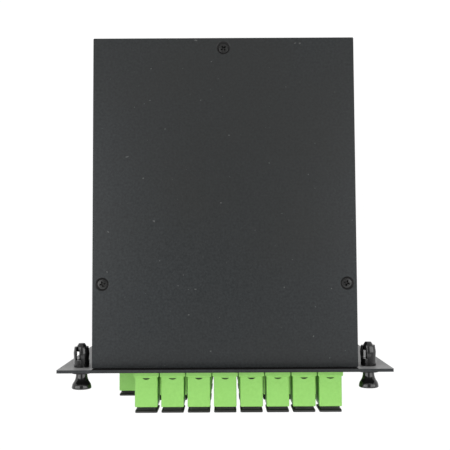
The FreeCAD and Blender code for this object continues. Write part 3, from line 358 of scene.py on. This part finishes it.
def repaint(piece, material, chosen):
    """Give the chosen faces of a piece a finish of their own."""
    piece.data.materials.append(material)
    for face in piece.data.polygons:
        if chosen(face):
            face.material_index = len(piece.data.materials) - 1


def at_plate_back(face):
    return abs(face.center.y - PLATE_BACK) < 0.02 * MM


def in_countersink(face):
    return 0.3 < face.normal.z < 0.95


eased("tray", 0.12)
cover = eased("cover", 0.15, 3)
plate = add_piece("front_plate_sheet", frame["nodes"]["front_plate"].data.copy(), "front_plate")
# The plate's back gets a painted sheen on the wings and painted shade between them.
repaint(plate, coarse_paint_sheen_and_shade(), at_plate_back)
# The countersink walls get a near-black paint, which is painted shade in the recesses round the screws.
repaint(cover, countersink_shade(), in_countersink)

# Cover screws: turned countersunk heads with a tapered cross recess
# Each point is (radius, height from the top, whether the cross is cut there), in millimetres
SCREW_HEAD = [
    (1.25, -5.0, False), (1.25, -0.45, False), (1.49, -0.45, False), (1.87, -0.07, False),
    (1.90, -0.03, False), (1.83, 0.0, False),
    (1.16, 0.0, True), (1.10, -0.06, True), (0.80, -0.55, True), (0.45, -0.95, True),
]
SCREW_TURNS = (14, 72, 38)
CROSS_WIDTH = 0.30
CROSS_RADIUS = 1.10


def cross_reach(angle, span, width):
    """How far the outline of a cross reaches at an angle. A higher power gives sharper corners."""
    power = 6
    quarter = math.pi / 2
    off_arm = abs((angle + quarter / 2) % quarter - quarter / 2)
    along = span / math.cos(off_arm)
    across = width / max(math.sin(off_arm), 1e-6)
    return (along ** -power + across ** -power) ** (-1 / power)


def screw(number, middle, top, steps=96):
    """A countersunk screw, turned as it was left when it was driven in."""
    turned = math.radians(SCREW_TURNS[number - 1])
    form = bmesh.new()
    rings = []
    for radius, height, crossed in SCREW_HEAD:
        width = CROSS_WIDTH * (0.4 + 0.6 * radius / CROSS_RADIUS)
        ring = []
        for step in range(steps):
            angle = 2 * math.pi * step / steps
            reach = cross_reach(angle, radius, width) if crossed else radius
            x = reach * math.cos(angle + turned)
            y = reach * math.sin(angle + turned)
            ring.append(form.verts.new((x * MM, y * MM, top + height * MM)))
        rings.append(ring)
    join_loops(form, rings)
    bmesh.ops.translate(form, verts=form.verts, vec=(middle.x, middle.y, 0))
    name = f"cover_screw_{number}"
    add_piece(name, smooth_mesh(name, form, 35), "cover_screws", number == 1)


def solids_of(node):
    """The corners of each separate solid in a node."""
    form = welded(node)
    left = set(form.verts)
    solids = []
    while left:
        todo, solid = [left.pop()], []
        while todo:
            vertex = todo.pop()
            solid.append(vertex.co.copy())
            for edge in vertex.link_edges:
                other = edge.other_vert(vertex)
                if other in left:
                    left.remove(other)
                    todo.append(other)
        solids.append(solid)
    form.free()
    return solids


def box_of(corners):
    """The lowest and the highest corner of the box around some points."""
    low = Vector(min(corner[axis] for corner in corners) for axis in range(3))
    high = Vector(max(corner[axis] for corner in corners) for axis in range(3))
    return low, high


def front_left_first(corners):
    """Sorts solids from the front to the back, and those side by side from left to right."""
    low, high = box_of(corners)
    middle = (low + high) / 2
    return round(middle.y / MM), middle.x


for number, solid in enumerate(sorted(solids_of("cover_screws"), key=front_left_first), start=1):
    low, high = box_of(solid)
    screw(number, (low + high) / 2, high.z)

# Adapters: housings with moulded edges, each with a mark cut into its top. Sizes are in millimetres
ADAPTER_PITCH = 10.47
COLLAR_STEP = 0.5
MARK_SHALLOW, MARK_DEEP = 0.30, 0.52
MARK_FRONT, MARK_BACK = -5.5, -3.5
MARK_SHADES = (
    finish("slot_shadow", (0.004, 0.012, 0.002), (0.012, 0.030, 0.006), 1.5, (0.6, 0.7)),
    finish("slot_shade", (0.045, 0.110, 0.020), (0.070, 0.160, 0.030), 1.5, (0.6, 0.7)),
)


def adapters(node, twin=None):
    """A row of housings. Their marks are dark and less dark by turns."""
    housings = eased(node, 0.07, twin=twin)
    for shade in MARK_SHADES:
        housings.data.materials.append(shade)
    low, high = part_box(node)
    columns = round((high.x - low.x) / MM / ADAPTER_PITCH)
    for face in housings.data.polygons:
        lowest = min(housings.data.vertices[index].co.z for index in face.vertices)
        depth = (high.z - lowest) / MM - COLLAR_STEP
        if MARK_SHALLOW < depth < MARK_DEEP and MARK_FRONT < face.center.y / MM < MARK_BACK:
            column = int((face.center.x - low.x) / (high.x - low.x) * columns)
            face.material_index = 1 + column % len(MARK_SHADES)


for row in range(1, 5):
    adapters(f"adapters_row_{row}", "adapters_row_1")
adapters("adapter_input")


# Dust caps: plug, neck and flange with moulded edges and a shallow panel in the front face
def dust_cap(node):
    """Loops of (y, half width, half height, corner radius), from inside the plug to the panel."""
    low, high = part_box(node)
    back, front = high.y / MM, low.y / MM
    shoulder, flange = back - 9.0, front + 0.9
    plug_bore = [
        (back - 3.3, 1.0, 1.0, 0.99), (back - 3.2, 2.5, 2.5, 2.45), (back, 2.5, 2.5, 2.45),
    ]
    plug = [
        (back, 3.35, 4.15, 0.7), (back - 0.1, 3.5, 4.3, 0.8), (back - 0.35, 3.62, 4.42, 0.8),
        (shoulder, 3.62, 4.42, 0.8),
    ]
    neck = [
        (shoulder, 3.8, 4.7, 0.8), (shoulder - 0.08, 3.88, 4.78, 0.85),
        (flange + 0.1, 3.9, 4.8, 0.85), (flange, 3.97, 4.87, 0.9),
    ]
    rim = [
        (flange, 4.22, 6.15, 0.55), (flange - 0.05, 4.36, 6.29, 0.65), (flange - 0.2, 4.425, 6.35, 0.7),
        (front + 0.2, 4.425, 6.35, 0.7), (front + 0.06, 4.37, 6.29, 0.65), (front, 4.22, 6.14, 0.55),
    ]
    panel = [
        (front, 3.75, 5.65, 0.6), (front + 0.06, 3.66, 5.56, 0.55), (front + 0.25, 3.55, 5.45, 0.5),
        (front + 0.25, 1.0, 2.0, 0.4),
    ]
    form = bmesh.new()
    join_loops(form, [loop_at(form, *loop) for loop in plug_bore + plug + neck + rim + panel])
    in_place_of(node, form, "moulded", 35)


for node in BODY_OF:
    if node.startswith("dust_cap"):
        dust_cap(node)


# Latches: turned plungers with a waisted knob, and the split-leg barrels
# Each point is (radius, y from the front of the knob), in millimetres
KNOB = [
    (0, 0.12), (2.6, 0.04), (3.3, 0.0), (3.62, 0.08), (3.82, 0.25), (3.89, 0.42), (3.9, 0.55),
    (3.83, 1.0), (3.75, 1.45), (3.64, 1.85), (3.46, 2.2), (3.21, 2.6), (2.95, 2.95), (2.74, 3.4),
    (2.59, 3.75), (2.45, 4.2), (2.35, 4.6), (2.29, 5.0), (2.25, 5.5), (2.22, 6.15),
]
BARREL_RADIUS = 4.0
BARREL_TURNS = {("left", "upper"): 10, ("right", "upper"): -10, ("left", "lower"): 35, ("right", "lower"): 70}


def plunger(node):
    """A knob on a thin shaft, with a wider head at the tip."""
    low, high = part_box(node)
    front, tip = low.y / MM, high.y / MM
    knob = [(radius, front + y) for radius, y in KNOB]
    shaft = [(1.0, knob[-1][1]), (1.0, tip - 3.3), (1.05, tip - 3.25)]
    head = [
        (1.88, tip - 3.25), (1.97, tip - 3.15), (2.00, tip - 2.9), (2.00, tip - 1.5), (1.94, tip - 1.3),
        (1.30, tip - 0.2), (1.12, tip - 0.03), (0.9, tip), (0, tip),
    ]
    form = bmesh.new()
    lathe(form, knob + shaft + head)
    in_place_of(node, form, "turned", 40)


def turn_barrels(form):
    """The barrels are round, so each sits in its hole turned its own way."""
    low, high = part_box("latch_grommets")
    radius = BARREL_RADIUS * MM
    for vertex in form.verts:
        side = "right" if vertex.co.x > 0 else "left"
        level = "upper" if vertex.co.z > 0 else "lower"
        x = high.x - radius if side == "right" else low.x + radius
        z = high.z - radius if level == "upper" else low.z + radius
        centre = Vector((x, 0, z))
        turn = Matrix.Rotation(math.radians(BARREL_TURNS[side, level]), 3, "Y")
        vertex.co = turn @ (vertex.co - centre) + centre


for number in range(1, 5):
    plunger(f"latch_plunger_{number}")
eased("latch_grommets", 0.12, 3, turn_barrels)


# Stage: a pale floor that the module rests on, at the slant that its front plate gives it
def seen_directly(tree):
    """1 for camera, mirror and glass rays, 0 for the rays that light the object."""
    path = tree.nodes.new("ShaderNodeLightPath")
    value = path.outputs["Is Camera Ray"]
    for kind in ("Is Glossy Ray", "Is Transmission Ray"):
        value = computed(tree, "MAXIMUM", value, path.outputs[kind])
    return value


def show_or_light(tree, kind, lighting, shown):
    """End the tree with one surface that lights the object and another that is seen."""
    choice = tree.nodes.new("ShaderNodeMixShader")
    output = tree.nodes.new(kind)
    tree.links.new(seen_directly(tree), choice.inputs["Fac"])
    tree.links.new(lighting.outputs[0], choice.inputs[1])
    tree.links.new(shown.outputs[0], choice.inputs[2])
    tree.links.new(choice.outputs[0], output.inputs["Surface"])


def white_floor():
    """A matt pale floor that is seen as white paper with a faint shadow."""
    material, tree = empty_material("paper_floor")
    tone = ramp(tree, object_noise(tree, 0.02, 2.0), [(0.3, grey(0.80)), (0.7, grey(0.82))])
    paper = tree.nodes.new("ShaderNodeBsdfDiffuse")
    tree.links.new(tone, paper.inputs["Color"])
    shadow = tree.nodes.new("ShaderNodeBsdfDiffuse")
    shadow.inputs["Color"].default_value = (*grey(0.13), 1)
    glow = tree.nodes.new("ShaderNodeEmission")
    glow.inputs["Strength"].default_value = 0.92
    shown = tree.nodes.new("ShaderNodeAddShader")
    tree.links.new(shadow.outputs[0], shown.inputs[0])
    tree.links.new(glow.outputs[0], shown.inputs[1])
    show_or_light(tree, "ShaderNodeOutputMaterial", paper, shown)
    return material


def lay_floor():
    """The module stands on the plate's lower edge and on the bend at the tray's back."""
    half_size, gap, tray_bend = 3.0, 0.1 * MM, 1.8 * MM
    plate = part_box("front_plate")[0]
    tray, tray_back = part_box("tray")
    slant = math.atan2(tray.z - plate.z, tray_back.y - tray_bend - plate.y)
    form = bmesh.new()
    bmesh.ops.create_grid(form, x_segments=1, y_segments=1, size=half_size)
    mesh = bpy.data.meshes.new("floor")
    form.to_mesh(mesh)
    form.free()
    mesh.materials.append(white_floor())
    floor = bpy.data.objects.new("floor", mesh)
    bpy.context.scene.collection.objects.link(floor)
    floor.matrix_world = Matrix.Translation((0, plate.y, plate.z - gap)) @ Matrix.Rotation(slant, 4, "X")


lay_floor()


# Light: a soft dome, white towards the horizon, and broad lamps to the left, right, front and back
def light_world():
    world = bpy.data.worlds.new("studio")
    bpy.context.scene.world = world
    world.use_nodes = True
    tree = world.node_tree
    tree.nodes.clear()
    direction = tree.nodes.new("ShaderNodeTexCoord")
    split = tree.nodes.new("ShaderNodeSeparateXYZ")
    tree.links.new(direction.outputs["Generated"], split.inputs["Vector"])
    skies = []
    for stops in ([(0.0, grey(0.77)), (0.75, grey(0.43))], [(0.40, grey(1.0)), (0.80, grey(0.40))]):
        sky = tree.nodes.new("ShaderNodeBackground")
        tree.links.new(ramp(tree, split.outputs["Z"], stops), sky.inputs["Color"])
        skies.append(sky)
    show_or_light(tree, "ShaderNodeOutputWorld", *skies)


def soft_box(name, edges, target, width, radiance):
    """A broad lamp between two parallel edges, given by their middles, that faces a point of the object."""
    first, second = Vector(edges[0]), Vector(edges[1])
    place = (first + second) / 2
    data = bpy.data.lights.new(name, "AREA")
    data.shape = "RECTANGLE"
    data.size = width
    data.size_y = (second - first).length
    data.energy = radiance * math.pi * data.size * data.size_y
    lamp = bpy.data.objects.new(name, data)
    bpy.context.scene.collection.objects.link(lamp)
    up = (second - first).normalized()
    back = place - Vector(target)
    back = (back - up * back.dot(up)).normalized()
    lamp.matrix_world = Matrix.Translation(place) @ Matrix((up.cross(back), up, back)).transposed().to_4x4()
    lamp.visible_camera = False


light_world()
soft_box("lamp_left", ((-0.15, 0.07, 0.50), (-0.97, 0.07, 0.36)), (0, 0.07, 0), 0.22, 2.8)
soft_box("lamp_right", ((0.16, 0.07, 0.50), (0.95, 0.07, 0.36)), (0, 0.07, 0), 0.22, 2.5)
soft_box("lamp_front", ((0, -0.15, 0.66), (0, -0.52, 0.46)), (0, 0, 0.03), 1.0, 1.15)
soft_box("lamp_back", ((0, 0.22, 0.72), (0, 0.60, 0.62)), (0, 0.12, 0.05), 1.0, 0.32)

# Camera: the photograph's straight look down on the cover. Lengths on the picture are in pixels
PICTURE_WIDTH = 450
FOCAL_LENGTH = 805.6
SHIFT_RIGHT, SHIFT_UP = 0.17, -20.18
SENSOR_WIDTH = 36.0
CAMERA_PLACE = Vector((0.14, 44.26, 371.0)) * MM
CAMERA_TURN = math.radians(-0.302)
CAMERA_TILT = math.radians(3.559)

camera_data = bpy.data.cameras.new("camera")
camera_data.sensor_width = SENSOR_WIDTH
camera_data.lens = SENSOR_WIDTH * FOCAL_LENGTH / PICTURE_WIDTH
camera_data.shift_x = SHIFT_RIGHT / PICTURE_WIDTH
camera_data.shift_y = SHIFT_UP / PICTURE_WIDTH
camera_data.clip_start = 0.01
camera_data.clip_end = 20
camera = bpy.data.objects.new("camera", camera_data)
bpy.context.scene.collection.objects.link(camera)
bpy.context.scene.camera = camera
camera.matrix_world = (
    Matrix.Translation(CAMERA_PLACE)
    @ Matrix.Rotation(CAMERA_TURN, 4, "Z")
    @ Matrix.Rotation(CAMERA_TILT, 4, "X")
)
